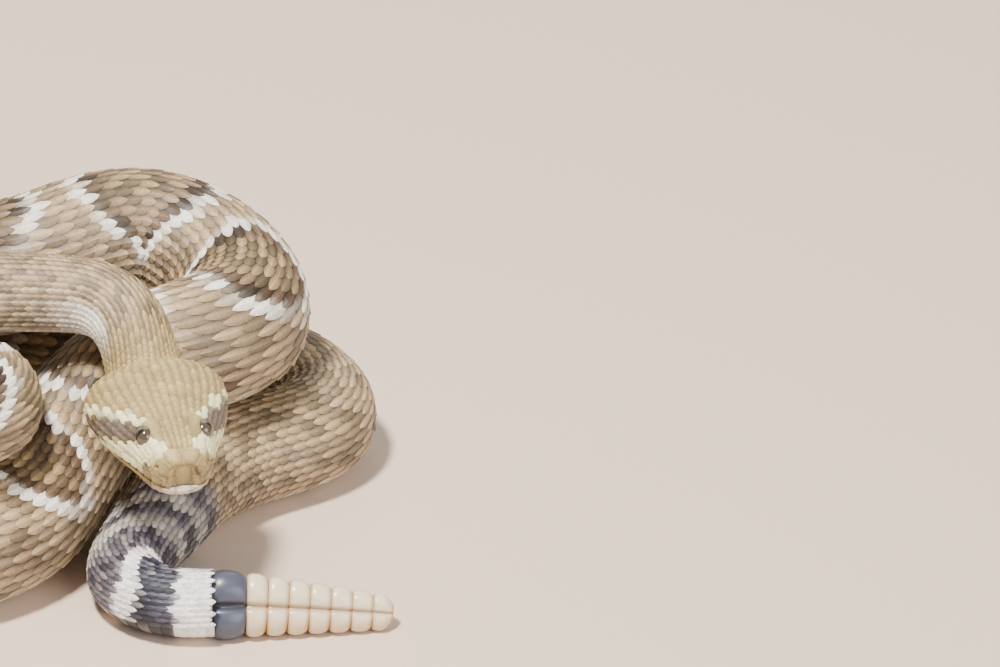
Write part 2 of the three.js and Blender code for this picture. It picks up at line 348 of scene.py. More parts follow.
# Tail rings, from the rattle forwards: where each ends before the matrix, and its colour
tailRings = [
    (8.6, "tailWhite"), (21.0, "slate"), (25.6, "tailWhite"), (36.0, "greyBrown"),
    (41.0, "tailPale"), (45.5, "greyBrown"), (50.0, "tailPale"), (54.0, "greyBrown"), (58.0, "tailGrey"),
]
# The rings lean where the tail turns over, and thin bars darken the grey-brown ones
tailLook = {"lean": 40, "leanIn": (875, 900), "leanOut": (939, 951), "bars": 2.3, "barDark": 0.5, "soft": 0.3}
# Head stripes along the right side: points of (behind the snout, share of the girth) and half width in mm
stripes = {
    "upper": ([(14.6, 0.108), (18.4, 0.130), (22.2, 0.165), (27.3, 0.200), (34, 0.244), (38, 0.27)], 1.15),
    "lower": ([(5.8, 0.115), (6.6, 0.155), (8.8, 0.208), (13.0, 0.252), (18, 0.280), (25, 0.306)], 3.0),
    "cheek": ([(11.5, 0.145), (15, 0.168), (19, 0.197), (25, 0.236), (31, 0.272), (38, 0.30)], 2.4),
}
# Head colours: where each ends behind the snout or down the side, how soft and how strong it is
headLook = {
    "crown": (46, 62),
    "end": (40, 46),
    "cheekSoft": (0.8, 1.25),
    "cheekLine": (0.5, 0.55),
    "stripeSoft": (0.75, 1.2),
    "chin": (0.335, 0.365),
    # Painted shade around the loreal pit: its place down the side, its softness and its strength
    "pit": (0.245, 62),
    "pitSoft": (0.9, 2.2),
    "pitShade": 0.6,
    "snout": (2.2, 0.22),
    "snoutFrom": (0.1, 0.2),
}


def stripeShare(name, s, v):
    points, half = stripes[name]
    q = np.array(points)
    gap = np.full(np.shape(s), 99.0)
    for (s0, v0), (s1, v1) in zip(q, q[1:]):
        g = girthAt((s0 + s1) / 2)
        du, dv = s1 - s0, (v1 - v0) * g
        x, y = s - s0, (v - v0) * g
        t = np.clip((x * du + y * dv) / (du * du + dv * dv), 0, 1)
        gap = np.minimum(gap, np.hypot(x - t * du, y - t * dv))
    return gap, half


def headMarkings(s, v, color):
    color = tint(color, linear("crown"), 1 - smooth(s, *headLook["crown"]))
    front = 1 - smooth(s, *headLook["end"])
    gap, half = stripeShare("cheek", s, v)
    inner, outside = headLook["cheekSoft"]
    color = tint(color, linear("cheek"), (1 - smooth(gap, half * inner, half * outside)) * front)
    lineWide, lineDark = headLook["cheekLine"]
    color = tint(color, linear("dark"), np.exp(-(((gap - half) / lineWide) ** 2)) * front * lineDark)
    inner, outside = headLook["stripeSoft"]
    for name in ("upper", "lower"):
        gap, half = stripeShare(name, s, v)
        color = tint(color, linear("cream"), (1 - smooth(gap, half * inner, half * outside)) * front)
    color = tint(color, linear("belly"), smooth(v, *headLook["chin"]) * front)
    # Painted shade in and around the loreal pit
    pitV, pitGirth = headLook["pit"]
    pit = np.hypot(s - face["pit"][0], (v - pitV) * pitGirth)
    color = tint(color, linear("dark"), (1 - smooth(pit, *headLook["pitSoft"])) * headLook["pitShade"])
    snoutLong, snoutGrey = headLook["snout"]
    snout = np.exp(-((s / snoutLong) ** 2)) * smooth(v, *headLook["snoutFrom"])
    return tint(color, linear("cheek"), snout * snoutGrey)


def diamondMarkings(s, v, color):
    count = np.interp(s, markS, markCount)
    pitch = marks["pitch"] * lineAt(s)[..., 3]
    middle = marks["long"] / 2
    phase = (count - middle + 0.5) % 1.0 - 0.5
    reach = v / marks["reach"]
    halfLong = middle * (1 - np.clip(reach, 0, 1) ** marks["roundness"])
    halfLong = halfLong - marks["pinch"] * np.clip(reach - 1, 0, 2)
    slope, slopePower = marks["slope"]
    steep = np.sqrt(1 + (slope * np.clip(reach, 0, 1) ** slopePower) ** 2)
    out = (np.abs(phase) - halfLong) * pitch / steep
    strength = smooth(s, *marks["fadeIn"]) * (1 - marks["faded"] * smooth(s, *marks["fadeOut"]))
    color = tint(color, linear("diamond"), (1 - smooth(out, -1.0, 0.2)) * strength)
    heart = 1 - smooth(out, -marks["edge"] - marks["heartSoft"], -marks["edge"])
    color = tint(color, linear("heart"), heart * strength)
    edge = smooth(out, -marks["edge"] - 0.6, -marks["edge"] + 0.6) * (1 - smooth(out, -0.5, 0.5))
    color = tint(color, linear("dark"), edge * strength * marks["edgeDark"])
    white = smooth(out, -0.4, 0.5) * (1 - smooth(out, marks["white"] - 0.7, marks["white"] + 0.3))
    white = white * (1 - smooth(v, *marks["whiteEnd"]))
    color = tint(color, linear("white"), white * strength)
    # Small dark blotches low on each side, between the diamonds
    low = (count - middle) % 1.0 - 0.5
    blotchLong, blotchHigh = flanks["blotchSize"]
    blotch = 1 - smooth(np.hypot(low * pitch / blotchLong, (v - flanks["blotch"]) / blotchHigh), 0.6, 1.0)
    return tint(color, linear("diamond"), blotch * strength * flanks["blotchDark"])


# Rings on the tail, leaning as the tail turns
def tailMarkings(s, signed, color):
    lean = tailLook["lean"] * (1 - smooth(s, *tailLook["leanOut"])) * smooth(s, *tailLook["leanIn"])
    back = matrixStart - (s + lean * np.sin(2 * math.pi * signed) / (2 * math.pi))
    bars = 0.5 + 0.5 * np.sin(back * tailLook["bars"])
    soft = tailLook["soft"]
    near = 0.0
    for far, name in tailRings:
        on = smooth(back, near - soft, near + soft) * (1 - smooth(back, far - soft, far + soft))
        color = tint(color, linear(name), on)
        if name == "greyBrown":
            color = tint(color, linear("slate"), on * bars * tailLook["barDark"])
        near = far
    return tint(color, linear("matrix"), 1 - smooth(back, -soft, soft))


def markings(s, u):
    signed = (np.asarray(u) + 0.5) % 1.0 - 0.5
    v = np.abs(signed)
    color = tint(linear("ground") + 0 * v[..., None], linear("flank"), smooth(v, *flanks["flank"]))
    color = diamondMarkings(s, v, color)
    rustV, rustHigh = flanks["rust"]
    rust = np.exp(-(((v - rustV) / rustHigh) ** 2))
    rust = rust * smooth(s, *flanks["rustFrom"]) * (1 - smooth(s, *flanks["rustTo"]))
    color = tint(color, linear("rust"), rust * flanks["rustShare"])
    color = tint(color, linear("belly"), smooth(v, *flanks["belly"]))
    neckS, neckLong = flanks["paleNeck"]
    paleNeck = np.exp(-(((s - neckS) / neckLong) ** 2)) * smooth(v, *flanks["paleNeckFrom"])
    color = tint(color, linear("white"), paleNeck)
    return tailMarkings(s, signed, headMarkings(s, v, color))


# Skin and scales wear one dry hide: their own colour and painted shade under fine dust and dark pepper
hide = {
    "shader": {"Roughness": 0.5, "Specular IOR Level": 0.42},
    "grain": {"Scale": 1300, "Detail": 3},
    "dust": {"From Min": 0.3, "From Max": 0.7, "To Min": 0.84, "To Max": 1.14},
    "pepper": {"Scale": 4200, "Detail": 2},
    "dots": {"From Min": 0.54, "From Max": 0.66, "To Max": 0.55},
    "dotTint": (0.30, 0.24, 0.20, 1),
    "relief": {"Strength": 0.3, "Distance": 0.0001},
}


def newMaterial(name, values):
    m = bpy.data.materials.new(name)
    m.use_nodes = True
    shader = m.node_tree.nodes["Principled BSDF"]
    for socket, value in values.items():
        shader.inputs[socket].default_value = value
    return m, shader, m.node_tree


def addNode(tree, kind, values):
    node = tree.nodes.new(kind)
    for socket, value in values.items():
        node.inputs[socket].default_value = value
    return node


def addAttribute(tree, name):
    node = tree.nodes.new("ShaderNodeAttribute")
    node.attribute_name = name
    return node


# The piece's own colour and painted shade, made lighter and darker by a noise on its surface
def unevenColor(tree, noise, spread):
    color = addAttribute(tree, "hide")
    place = tree.nodes.new("ShaderNodeTexCoord")
    tree.links.new(place.outputs["Object"], noise.inputs["Vector"])
    strength = addNode(tree, "ShaderNodeMapRange", spread)
    tree.links.new(noise.outputs["Fac"], strength.inputs["Value"])
    uneven = tree.nodes.new("ShaderNodeVectorMath")
    uneven.operation = "SCALE"
    tree.links.new(color.outputs["Color"], uneven.inputs[0])
    tree.links.new(strength.outputs["Result"], uneven.inputs["Scale"])
    return uneven.outputs["Vector"], place.outputs["Object"]


def hideMaterial():
    m, shader, tree = newMaterial("dryHide", hide["shader"])
    grain = addNode(tree, "ShaderNodeTexNoise", hide["grain"])
    dusty, place = unevenColor(tree, grain, hide["dust"])
    pepper = addNode(tree, "ShaderNodeTexNoise", hide["pepper"])
    tree.links.new(place, pepper.inputs["Vector"])
    dots = addNode(tree, "ShaderNodeMapRange", hide["dots"])
    tree.links.new(pepper.outputs["Fac"], dots.inputs["Value"])
    peppered = tree.nodes.new("ShaderNodeMix")
    peppered.data_type = "RGBA"
    peppered.blend_type = "MULTIPLY"
    peppered.inputs["B"].default_value = hide["dotTint"]
    tree.links.new(dots.outputs["Result"], peppered.inputs["Factor"])
    tree.links.new(dusty, peppered.inputs["A"])
    tree.links.new(peppered.outputs["Result"], shader.inputs["Base Color"])
    relief = addNode(tree, "ShaderNodeBump", hide["relief"])
    tree.links.new(grain.outputs["Fac"], relief.inputs["Height"])
    tree.links.new(relief.outputs["Normal"], shader.inputs["Normal"])
    return m


dryHide = hideMaterial()


def getPoints(mesh):
    co = np.empty(len(mesh.vertices) * 3, np.float32)
    mesh.vertices.foreach_get("co", co)
    return co.reshape(-1, 3).astype(float)


def setPoints(mesh, points):
    mesh.vertices.foreach_set("co", np.ascontiguousarray(points * 0.001, dtype=np.float32).ravel())
    mesh.update()


def paint(mesh, color):
    layer = mesh.color_attributes.new("hide", "FLOAT_COLOR", "POINT")
    full = np.ones((len(mesh.vertices), 4), np.float32)
    full[:, :3] = color
    layer.data.foreach_set("color", full.ravel())


def finishPiece(name, mesh, material, nodes=()):
    obj = bpy.data.objects.new(name, mesh)
    bpy.context.collection.objects.link(obj)
    mesh.materials.append(material)
    mesh.polygons.foreach_set("use_smooth", [True] * len(mesh.polygons))
    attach(obj, "root")
    if nodes:
        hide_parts(*nodes)


def leafMesh(name, bm):
    mesh = bpy.data.meshes.new(name)
    bm.to_mesh(mesh)
    bm.free()
    return mesh


# A flat grid, with each point's share of the way along and around
def flatSheet(name, along, around):
    bm = bmesh.new()
    bmesh.ops.create_grid(bm, x_segments=along, y_segments=around, size=0.5)
    mesh = leafMesh(name, bm)
    flat = getPoints(mesh)
    return mesh, np.round((flat[:, 0] + 0.5) * along) / along, np.round((flat[:, 1] + 0.5) * around) / around


def closeTube(mesh):
    bm = bmesh.new()
    bm.from_mesh(mesh)
    bmesh.ops.remove_doubles(bm, verts=bm.verts, dist=1e-7)
    bmesh.ops.holes_fill(bm, edges=[e for e in bm.edges if e.is_boundary], sides=0)
    bmesh.ops.recalc_face_normals(bm, faces=bm.faces)
    bm.to_mesh(mesh)
    bm.free()


# Rows of scales on each side, how long and wide they are in steps, and the coat's depth in mm
coat = {
    "rows": 13,
    "headRows": 18,
    "bellyEdge": 0.352,
    "tailSpread": 1.08,
    "tailSpreadIn": (870, 940),
    "pitch": 0.25,
    "headPitch": 1.12,
    "pitchBlend": (40, 66),
    "fullPitch": 4.6,
    "depth": 0.36,
    "leastDepth": 0.4,
    "countStep": 0.25,
    "long": 1.48,
    "wide": 1.16,
    "wideSpread": (0.96, 1.04),
    "turnSpread": 0.02,
    "headEnd": 42,
    "tailGap": 0.5,
    "bellyGap": 0.4,
    "pieces": 9,
}


def rowShare(s):
    spread = 1 + (coat["tailSpread"] - 1) * smooth(s, *coat["tailSpreadIn"])
    return coat["bellyEdge"] / (coat["rows"] + 0.5) * spread


def pitchAt(s):
    onHead = coat["headPitch"] * rowShare(s) * girthAt(s)
    return onHead + (coat["pitch"] * lineAt(s)[..., 3] - onHead) * smooth(s, *coat["pitchBlend"])


def depthAt(s):
    return coat["depth"] * np.clip(pitchAt(s) / coat["fullPitch"], coat["leastDepth"], 1)


eyeShare = sideShare(face["eye"][0], face["eye"][1])
pitShare = sideShare(*face["pit"])
nostrilShare = sideShare(*face["nostril"])
# Hollows in the head: the depth is full within "from" and ends at "to", with no scales within "free"
holes = {
    "orbit": {"at": (face["eye"][0], eyeShare), "from": 1.9, "to": 3.7, "deep": 1.1, "free": 3.3},
    "pit": {"at": (face["pit"][0], pitShare), "from": 0.35, "to": 1.15, "deep": 1.7, "free": 1.9},
    "nostril": {"at": (face["nostril"][0], nostrilShare), "from": 0.15, "to": 0.8, "deep": 1.2, "free": 1.4},
}
# The skin under the scales: its steps along the body, the mouth's groove with painted shade in it, and how
# dark it is between them, partly its own darker tone and partly painted shade in the gaps
skin = {
    "bodyStep": 2.9,
    "headEnd": 50,
    "end": matrixStart + 2,
    "holesEnd": 25,
    "lipHigh": 0.33,
    "lipEnd": (29, 32),
    "lipDepth": (0.4, 0.35),
    "lipDeepen": (2, 8),
    "lipGrooveShade": 0.75,
    "headBlend": (40, 60),
    "snoutBlend": (4, 9),
    # How much of the markings the skin keeps and how much dark brown is mixed in: partly its own tone, partly
    # painted shade in the gaps
    "own": (0.36, 0.26, 0.2),
    "between": (0.38, 0.2, 0.15),
}


def distanceTo(points, hole, side):
    s, share = hole["at"]
    middle = onSurface(np.array([s]), np.array([side * share]), np.zeros(1))[0]
    return np.linalg.norm(points - middle, axis=-1)


def makeSkin():
    onBody = np.arange(skin["headEnd"], skin["end"], skin["bodyStep"])
    stations = np.r_[capS, np.arange(0, skin["headEnd"], surface["headStep"]), onBody]
    mesh, x, u = flatSheet("skin", len(stations) - 1, surface["columns"])
    s = np.interp(x * (len(stations) - 1), np.arange(len(stations)), stations)
    h = -depthAt(s)
    bare = onSurface(s, u, 0 * s)
    for hole in holes.values():
        for side in (1, -1):
            sunk = 1 - smooth(distanceTo(bare, hole, side), hole["from"], hole["to"])
            h = h - hole["deep"] * sunk * (s < skin["holesEnd"])
    lips = np.exp(-(((lookUp(sheetB, s, u) - mouthHeight(s)) / skin["lipHigh"]) ** 2))
    lips = lips * (1 - smooth(s, *skin["lipEnd"]))
    lipDepth = skin["lipDepth"][0] + skin["lipDepth"][1] * smooth(s, *skin["lipDeepen"])
    setPoints(mesh, onSurface(s, u, h - lipDepth * lips))
    # The skin darkened under the scales: partly its own darker tone, partly painted shade in the gaps between
    # scales, less of it on the head and snout
    onHead = (1 - smooth(s, *skin["headBlend"]))[:, None]
    onSnout = (1 - smooth(s, *skin["snoutBlend"]))[:, None]
    own = skin["own"][0] + skin["own"][1] * onHead + skin["own"][2] * onSnout
    between = skin["between"][0] - skin["between"][1] * onHead - skin["between"][2] * onSnout
    color = markings(s, u) * own + linear("between") * between
    # Painted shade along the mouth's groove
    paint(mesh, color * (1 - skin["lipGrooveShade"] * lips[:, None]))
    closeTube(mesh)
    nodes = ["head", "lower_jaw", "neck", "tail_1", "tail_2"] + [f"body_{i:02d}" for i in range(1, 18)]
    finishPiece("skin", mesh, dryHide, nodes)


makeSkin()
print("skin made")

# A keeled scale: half width at stations from root to tip, and places across it
keeled = {
    "along": (0.0, 0.18, 0.42, 0.66, 0.87, 1.0),
    "half": (0.36, 0.80, 1.0, 0.94, 0.56, 0.10),
    "across": (-1.0, -0.55, -0.12, 0.0, 0.12, 0.55, 1.0),
    "root": -0.30,
    "rise": 0.50,
    "crown": 0.16,
    "keel": 0.17,
    "keelWide": 0.16,
    "keelIn": (0.0, 0.3),
    "sink": -0.50,
}


# A leaf's border goes down as a wall and is closed underneath
def closeLeaf(bm):
    border = [e for e in bm.edges if e.is_boundary]
    for edge in border:
        edge.smooth = False
    walled = bmesh.ops.extrude_edge_only(bm, edges=border)["geom"]
    for v in walled:
        if isinstance(v, bmesh.types.BMVert):
            v.co.z = keeled["sink"]
    bmesh.ops.contextual_create(bm, geom=[e for e in bm.edges if e.is_boundary])
    bmesh.ops.recalc_face_normals(bm, faces=bm.faces)
    bm.loops.layers.uv.new("OFBake")


def keeledScale():
    rows, across = keeled["along"], keeled["across"]
    bm = bmesh.new()
    bmesh.ops.create_grid(bm, x_segments=len(rows) - 1, y_segments=len(across) - 1, size=0.5)
    for v in bm.verts:
        i = round((v.co.x + 0.5) * (len(rows) - 1))
        x, y = rows[i], across[round((v.co.y + 0.5) * (len(across) - 1))]
        keel = keeled["keel"] * math.exp(-((y / keeled["keelWide"]) ** 2)) * smooth(x, *keeled["keelIn"])
        high = keeled["root"] + keeled["rise"] * x + keeled["crown"] * (1 - y * y) + keel
        v.co = (x, y * keeled["half"][i], high)
    closeLeaf(bm)
    return leafMesh("keeledScale", bm)


# A smooth plate with rounded corners, for the lips and the top of the snout
smoothLook = {"segments": 6, "corners": 0.16, "edge": 0.08}


def smoothPlate(dome):
    bm = bmesh.new()
    bmesh.ops.create_grid(bm, x_segments=smoothLook["segments"], y_segments=smoothLook["segments"], size=1)
    corners = smoothLook["corners"]
    for v in bm.verts:
        x, y = v.co.x, v.co.y
        high = dome * (1 - x ** 4) * (1 - y ** 4) - smoothLook["edge"]
        v.co = ((x * (1 - corners * y * y) + 1) / 2, y * (1 - corners * x * x), high)
    closeLeaf(bm)
    return leafMesh("smoothPlate", bm)


# A belly scute: one wide plate, bowed back in the middle and turned down at its ends
scute = {
    "segments": (4, 16),
    "bow": 0.06,
    "root": -0.28,
    "rise": 0.30,
    "ends": 0.12,
    "start": 42,
    "long": 1.22,
    "overlap": 0.022,
}


def bellyScute():
    along, around = scute["segments"]
    bm = bmesh.new()
    bmesh.ops.create_grid(bm, x_segments=along, y_segments=around, size=0.5)
    for v in bm.verts:
        x, y = v.co.x + 0.5, v.co.y * 2
        high = scute["root"] + scute["rise"] * x - scute["ends"] * abs(y) ** 6
        v.co = (x + scute["bow"] * x * (1 - y * y), y, high)
    closeLeaf(bm)
    return leafMesh("bellyScute", bm)


def copies(name, template, count):
    bm = bmesh.new()
    for _ in range(count):
        bm.from_mesh(template)
    return leafMesh(name, bm)


# Where a root lies on the unrolled skin, cut into four strips
def unrolled(s, u):
    along = np.clip(s / total, 0, 0.9999) * 4
    strip = np.floor(along)
    return np.stack([0.01 + 0.98 * (along - strip), (strip + 0.02 + 0.96 * ((u + 0.5) % 1.0)) / 4], -1)


rng = np.random.default_rng(11)
# How each scale takes its colour: mostly one from its root, some scales darker, and painted shade that leaves
# it paler towards the tip and darker at the sides, with a painted highlight along the keel and painted shade
# on the walls underneath
leafLook = {
    "jitter": 0.35,
    "whole": 0.82,
    "bright": (1.4, 0.25),
    "darkest": (0.18, 0.42),
    "dusky": (0.46, 0.68),
    "plain": 1.14,
    "crownEven": 0.75,
    "crown": (44, 60),
    "spread": 0.07,
    "tailPale": (0.8, 0.3),
    # Painted shade and highlight on each scale: darker at the root and sides, lighter along the keel, less on
    # bright scales and the crown, darkest on the walls underneath
    "root": (0.40, 0.72, 0.8),
    "edge": (0.68, 2.5),
    "keel": (0.14, 0.16),
    "lift": (0.7, 0.25),
    "wall": 0.28,
    "patch": (0.003, 0.0015),
}


def leafColorsWithShade(spots, flat, whole, local):
    count = len(spots)
    share = leafLook["whole"]
    color = whole[:, None] * share + local * (1 - share)
    gain, offset = leafLook["bright"]
    bright = np.clip(whole.mean(axis=1) * gain - offset, 0, 1)[:, None, None]
    fleck = rng.random((count, 1, 1))
    (darkEnd, dark), (duskyEnd, dusky) = leafLook["darkest"], leafLook["dusky"]
    dusk = np.where(fleck < darkEnd, dark, np.where(fleck < duskyEnd, dusky, leafLook["plain"]))
    onCrown = (1 - smooth(spots[:, 0], *leafLook["crown"]))[:, None, None]
    color = color * (1 + rng.normal(0, leafLook["spread"], (count, 1, 1)))
    color = color * (1 - (1 - dusk) * (1 - bright) * (1 - leafLook["crownEven"] * onCrown))
    onTail = (spots[:, 0] > tailStart)[:, None, None]
    paleFrom, pale = leafLook["tailPale"]
    color = np.where((fleck > paleFrom) & onTail, color * (1 - pale) + linear("tailPale") * pale, color)
    x, y = flat[..., 0:1], flat[..., 1:2]
    root, rise, risePower = leafLook["root"]
    edge, edgePower = leafLook["edge"]
    keel, keelWide = leafLook["keel"]
    # Painted shade: darker at the root and the sides, with a painted highlight along the keel
    shade = (root + rise * np.clip(x, 0, 1) ** risePower) * (1 - edge * np.clip(np.abs(y), 0, 1) ** edgePower)
    shade = shade * (1 + keel * np.exp(-((y / keelWide) ** 2)))
    # Less painted shade on bright scales and on the crown
    onBright, onPlain = leafLook["lift"]
    shade = shade + (1 - shade) * (onBright * bright + onPlain * onCrown * (1 - bright))
    # Painted shade on the walls and underside of each scale
    underneath = flat[..., 2:3] <= keeled["sink"] + 0.01
    return color * np.where(underneath, leafLook["wall"], shade)


# Copies of one leaf, each at its spot: s, share of the girth, length, width, turn, thickness
def layLeaves(name, template, spots, place=None):
    spots = np.asarray(spots, float)
    count = len(spots)
    s0, u0, long, wide, turn, thick = spots.T[:, :, None]
    mesh = copies(name, template, count)
    flat = getPoints(mesh).reshape(count, -1, 3)
    dx, dy = (flat[..., 0] - 0.5) * long, flat[..., 1] * wide / 2
    along = dx * np.cos(turn) - dy * np.sin(turn)
    around = dx * np.sin(turn) + dy * np.cos(turn)
    jitter = rng.normal(0, leafLook["jitter"], (2, count))
    if place:
        s, u = place(s0, u0, along, around)
        lip = spots[:, 1] < nose["lip"]
        whole = markings(0 * s0[:, 0] + nose["colorS"], np.where(lip, *nose["colorShares"]))
        local = whole[:, None]
    else:
        s, u = s0 + along, u0 + around / girthAt(s0)
        whole = markings(spots[:, 0] + jitter[0], spots[:, 1] + jitter[1] / girthAt(spots[:, 0]))
        local = markings(s, u)
    setPoints(mesh, onSurface(s, u, flat[..., 2] * thick).reshape(-1, 3))
    paint(mesh, leafColorsWithShade(spots, flat, whole, local).reshape(-1, 3))
    corner = np.empty(len(mesh.loops), np.int32)
    mesh.loops.foreach_get("vertex_index", corner)
    patch = unrolled(spots[:, 0], spots[:, 1])[:, None] + (flat[..., :2] - (0.5, 0)) * leafLook["patch"]
    uv = patch.reshape(-1, 2)[corner]
    mesh.uv_layers["OFBake"].data.foreach_set("uv", np.ascontiguousarray(uv, dtype=np.float32).ravel())
    finishPiece(name, mesh, dryHide)


# Scale steps counted along the animal
pitchS = np.arange(0.5, rattleStart + 1, coat["countStep"])
countS = np.cumsum(coat["countStep"] / pitchAt(pitchS))

# The larger plates of the head, each as s, distance from the middle of the back, length, width, turn
plates = {
    "start": 4.1,
    "end": 46,
    "upperLip": 2.6,
    "lowerLip": 2.2,
    "lipEnd": 31,
    "labials": 9,
    "labialFirst": 2.3,
    "labialStep": 3.25,
    "labialLong": 3.2,
    "labialSlope": 8,
    "internasal": (1.7, 2.25, 4.6, 4.3, 0.0),
    "canthals": ((5.2, 5.6, 3.1, 3.0, 0.1), (7.9, 6.2, 2.6, 2.8, 0.1)),
    "brow": (11.6, 5.3, 9.0, 4.4, 0.06),
    "browFree": (4.7, 2.2),
    "canthalFree": 1.5,
    "nasals": ((0.9, 0.012, 1.9, 3.6), (4.0, 0.008, 2.0, 3.3)),
    "thick": 0.8,
    "browThick": 1.6,
    "topHigh": 3,
    "lipSpare": (0.3, 0.2),
    "lipGap": 0.1,
    "lipCurve": 32,
    "lowerShift": 0.6,
    "dome": 0.30,
}
# Small scales in a ring: distance from the middle, first, last and step in degrees, size, thickness
eyeScales = {"reach": 2.75, "degrees": (-32, 213, 27), "size": (0.95, 1.35), "thick": 0.75}
pitScales = {"reach": 1.45, "degrees": (0, 360, 45), "size": (0.75, 1.15), "thick": 0.6}


# Ground kept free for the larger plates of the head and for the eye, pit and lips
def isFree(s, u):
    a, b = lookUp(sheetA, s, u), lookUp(sheetB, s, u)
    free = s > plates["start"]
    browS, browSide = plates["brow"][:2]
    browLong, browWide = plates["browFree"]
    onTop = np.hypot((s - browS) / browLong, (np.abs(a) - browSide) / browWide) < 1
    for canthalS, canthalSide, *_ in plates["canthals"]:
        onTop |= np.hypot(s - canthalS, np.abs(a) - canthalSide) < plates["canthalFree"]
    free &= ~(onTop & (b > plates["topHigh"]))
    points = onSurface(s, u, 0 * s)
    for hole in holes.values():
        for side in (1, -1):
            free &= distanceTo(points, hole, side) > hole["free"]
    lip = b - mouthHeight(s)
    above, below = plates["lipSpare"]
    onLips = (lip < plates["upperLip"] + above) & (lip > -plates["lowerLip"] - below) & (s < plates["lipEnd"])
    return (free & ~onLips) | (s > plates["end"])


def layCoat():
    spots = []
    for n in range(1, int(countS[-1]) - 1):
        for k in range(-coat["headRows"], coat["headRows"] + 1):
            s = float(np.interp(n + 0.5 * (k % 2), countS, pitchS))
            share = float(rowShare(s))
            onSides = abs(k) * share < coat["bellyEdge"] - coat["bellyGap"] * share
            if (onSides or s < coat["headEnd"]) and s < matrixStart - coat["tailGap"]:
                spots.append((s, k * share))
    spots = np.array(spots)
    spots = spots[isFree(spots[:, 0], spots[:, 1])]
    s = spots[:, 0]
    long = coat["long"] * pitchAt(s)
    wide = coat["wide"] * rowShare(s) * girthAt(s) * rng.uniform(*coat["wideSpread"], len(s))
    turn = rng.normal(0, coat["turnSpread"], len(s))
    spots = np.column_stack([spots, long, wide, turn, depthAt(s) / coat["depth"]])
    spots = spots[np.argsort(spots[:, 0])]
    print("scales", len(spots))
    template = keeledScale()
    for g, part in enumerate(np.array_split(spots, coat["pieces"])):
        layLeaves(f"scales_{g + 1}", template, part)


def layScutes():
    first = int(np.interp(scute["start"], pitchS, countS))
    s = np.interp(np.arange(first, int(countS[-1]) - 1), countS, pitchS)
    s = s[s < matrixStart - coat["tailGap"]]
    wide = girthAt(s) * (1 - 2 * coat["bellyEdge"] + scute["overlap"])
    long = scute["long"] * pitchAt(s)
    spots = np.column_stack([s, 0 * s + 0.5, long, wide, 0 * s, depthAt(s) / coat["depth"]])
    layLeaves("scutes", bellyScute(), spots)


def headPlates():
    rows = []

    def both(s, share, long, wide, turn=0.0, thick=plates["thick"]):
        rows.append((s, share, long, wide, turn, thick))
        rows.append((s, -share, long, wide, -turn, thick))

    def ringOf(s, share, ring):
        for angle in np.radians(np.arange(*ring["degrees"])):
            around = ring["reach"] * math.sin(angle) / girthAt(s)
            both(s + ring["reach"] * math.cos(angle), share + around, *ring["size"], angle, ring["thick"])

    # Lips: a row of plates above and below the mouth
    for i in range(plates["labials"]):
        s = plates["labialFirst"] + i * plates["labialStep"]
        slope = math.radians(plates["labialSlope"] * math.sin(math.pi * min(1, s / plates["lipCurve"])))
        upper = mouthHeight(s) + plates["upperLip"] / 2 + plates["lipGap"]
        both(s, sideShare(s, upper), plates["labialLong"], plates["upperLip"], slope)
        s = s + plates["lowerShift"]
        lower = mouthHeight(s) - plates["lowerLip"] / 2 - plates["lipGap"]
        both(s, sideShare(s, lower), plates["labialLong"], plates["lowerLip"], slope)
    for s, across, *size in (plates["internasal"], *plates["canthals"]):
        both(s, topShare(s, across), *size)
    s, across, *size = plates["brow"]
    both(s, topShare(s, across), *size, plates["browThick"])
    for s, above, *size in plates["nasals"]:
        both(s, nostrilShare - above, *size)
    ringOf(face["eye"][0], eyeShare, eyeScales)
    ringOf(face["pit"][0], pitShare, pitScales)
    layLeaves("headPlates", smoothPlate(plates["dome"]), rows)


# Plates on the front of the snout: distance across, height, length, width, turn, thickness
nose = {
    "middle": [(0.0, -0.35, 5.0, 4.3, 0, 0.6), (0.0, -4.3, 2.5, 4.0, 0, 0.45)],
    "sides": [(3.2, -1.5, 2.6, 2.4, 0, 0.6), (3.2, 1.05, 2.7, 2.4, 0, 0.6), (3.5, -4.1, 2.4, 3.2, 0, 0.45)],
    "lip": -3,
    "colorS": 1.5,
    "colorShares": (0.45, 0.2),
    "dome": 0.26,
}


# A place across and up the snout's face as one on the sheet: over the rounded tip, or behind its rim
def onNose(across, high, along, around):
    a, b = across + around, high + along
    firstRow = int(np.searchsorted(sheetS, 0))
    rim = np.unwrap(np.arctan2(sheetA[firstRow], sheetB[firstRow]))
    rim = rim - rim[0]
    reach = np.hypot(sheetA[firstRow], sheetB[firstRow])
    shares = np.linspace(0, 1, len(rim))
    angle = np.arctan2(a, b) % (2 * math.pi)
    u = np.interp(angle, rim, shares)
    part = np.hypot(a, b) / np.interp(angle, rim, reach)
    onTip = -face["cap"] * np.sqrt(np.clip(1 - part ** 2, 0, 1))
    return np.where(part < 1, onTip, (part - 1) * np.interp(u, shares, reach)), u


def nosePlates():
    rows = list(nose["middle"])
    for side in (1, -1):
        rows += [(side * across, *rest) for across, *rest in nose["sides"]]
    layLeaves("nosePlates", smoothPlate(nose["dome"]), rows, place=onNose)


layCoat()
layScutes()
headPlates()
nosePlates()
print("coat laid")

